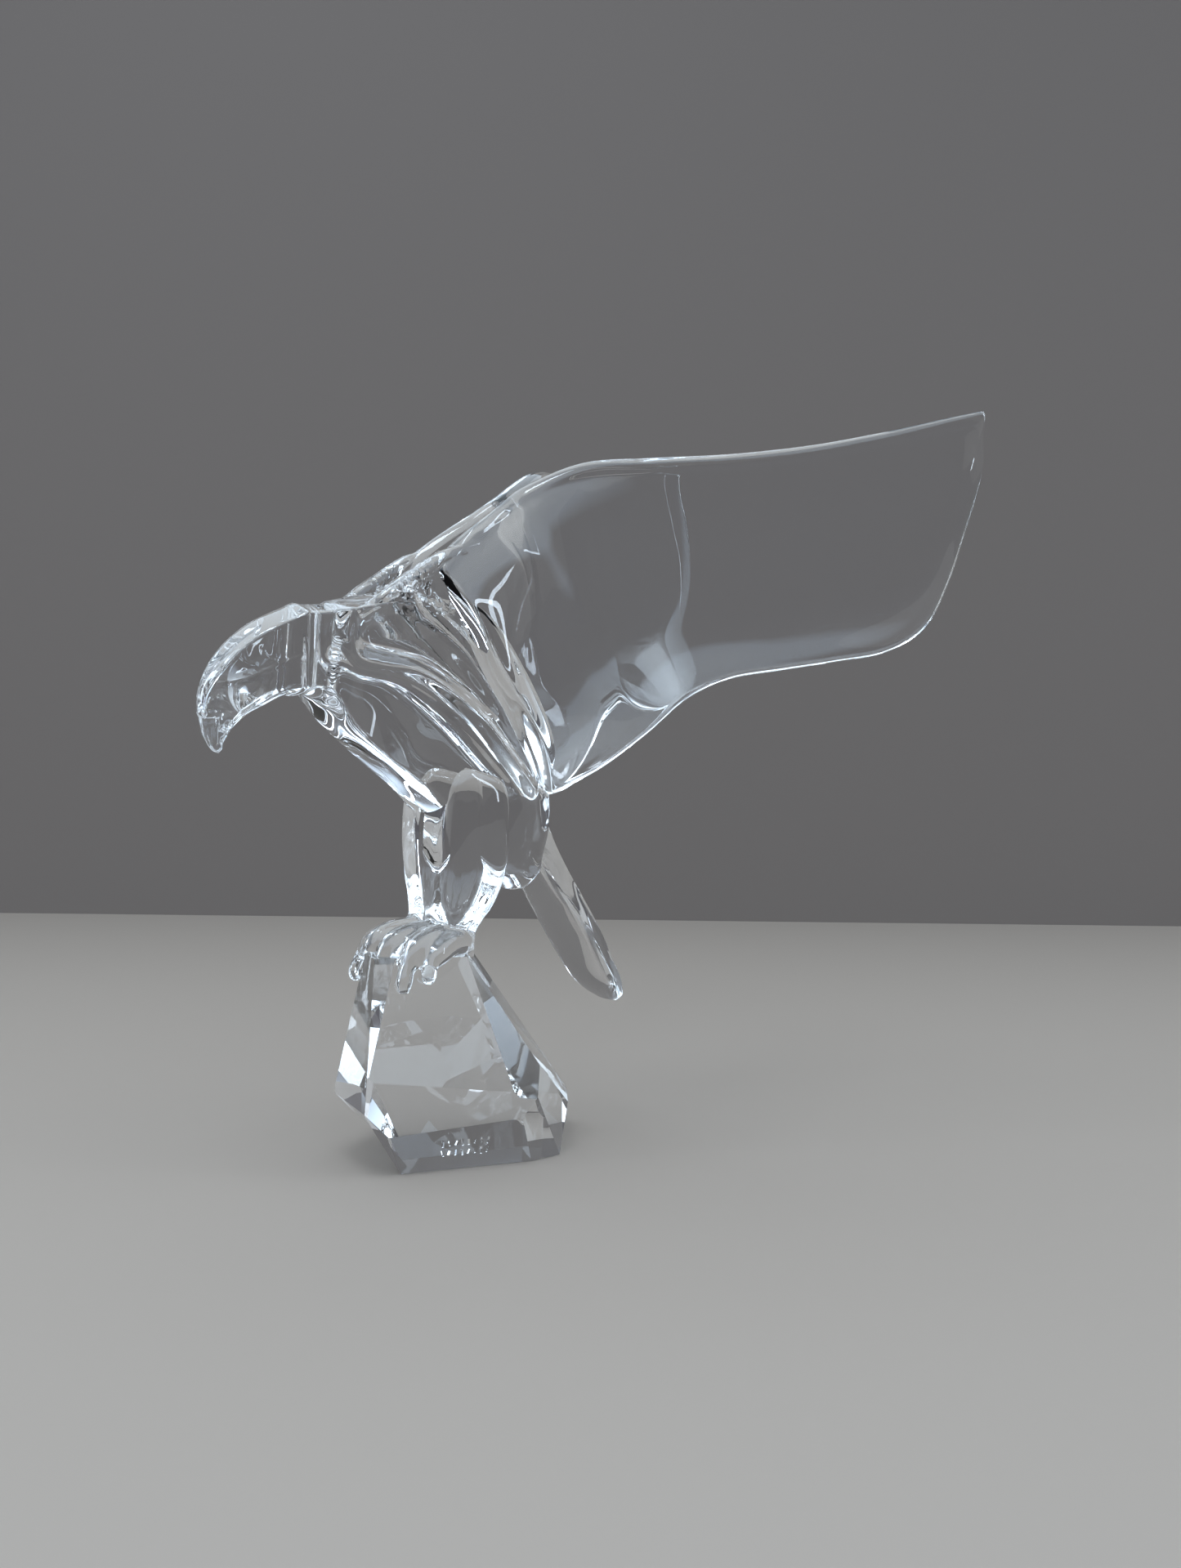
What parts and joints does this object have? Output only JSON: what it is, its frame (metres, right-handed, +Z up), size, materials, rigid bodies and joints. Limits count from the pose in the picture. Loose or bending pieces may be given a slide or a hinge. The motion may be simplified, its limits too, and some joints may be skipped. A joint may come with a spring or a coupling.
{
  "type": "crystal eagle sculpture",
  "caption": "Clear crystal eagle cast as one piece, perched on a faceted rock with both wing blades raised behind it and a short plank tail.",
  "frame": {"origin": "on the flat underside of the rock, on the bird's middle plane, below its feet", "axes": "+X from the beak to the wing tips, +Y to the bird's right wing, +Z up; it stands on its underside at Z = 0"},
  "size_m": [0.3024, 0.1982, 0.2886],
  "materials": {
    "clear_crystal": "clear colourless crystal, polished all over"
  },
  "bodies": {
    "root": {"crystal_eagle": "clear_crystal"}
  },
  "joints": []
}
